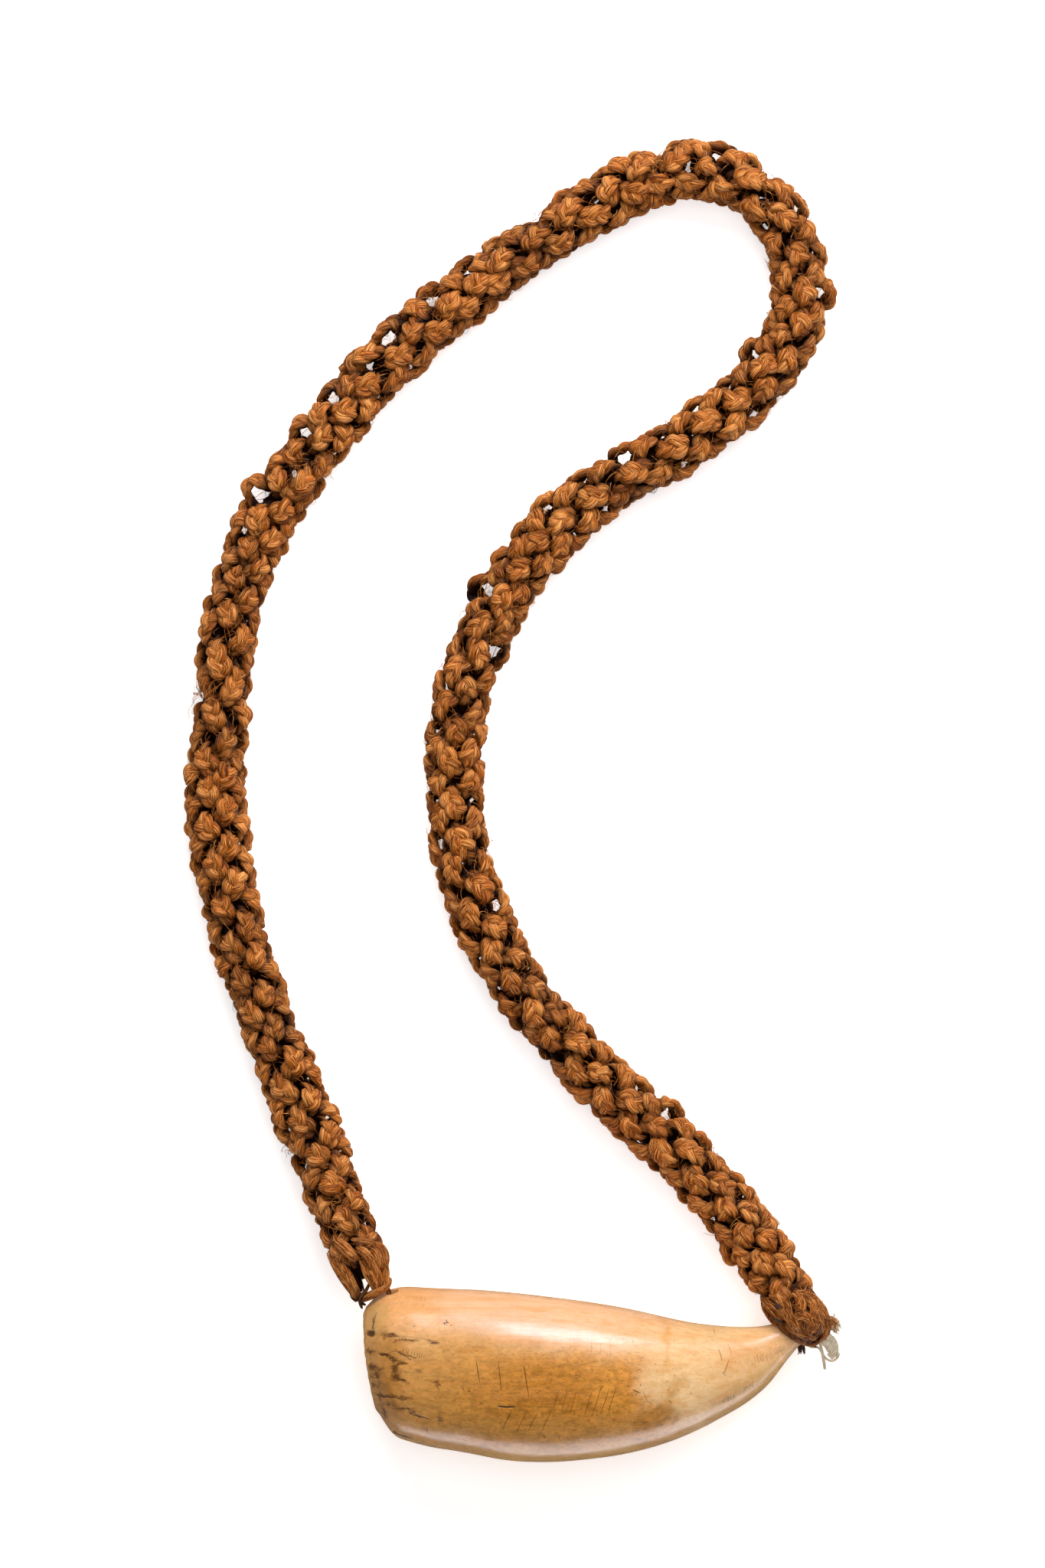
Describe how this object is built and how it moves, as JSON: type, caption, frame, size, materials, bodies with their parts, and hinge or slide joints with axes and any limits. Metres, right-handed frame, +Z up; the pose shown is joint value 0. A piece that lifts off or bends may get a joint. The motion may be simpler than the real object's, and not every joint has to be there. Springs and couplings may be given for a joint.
{
  "type": "tabua whale tooth",
  "caption": "Polished sperm whale tooth hung on a long loop of thick plaited coir cord, lying flat.",
  "frame": {"origin": "under the middle of the tooth, on the surface that it lies on", "axes": "+Z up, away from the surface; +X along the tooth from its root end to its tip; the cord loops away towards +Y"},
  "size_m": [0.2393, 0.482, 0.0487],
  "materials": {
    "polished_ivory": "polished ivory, honey coloured, with olive-brown patina, fine grain and brown stains",
    "plaited_coir": "orange-brown coconut fibre, plaited, with glossy parallel fibres and loose hairs",
    "knotted_coir": "darker coconut fibre, knotted and fuzzy",
    "cotton_string": "off-white twisted cotton, frayed at the ends"
  },
  "bodies": {
    "root": {"tooth": "polished_ivory", "coir_cord": "plaited_coir", "root_lashing": "knotted_coir", "tip_lashing": "knotted_coir", "cotton_string": "cotton_string"}
  },
  "joints": []
}
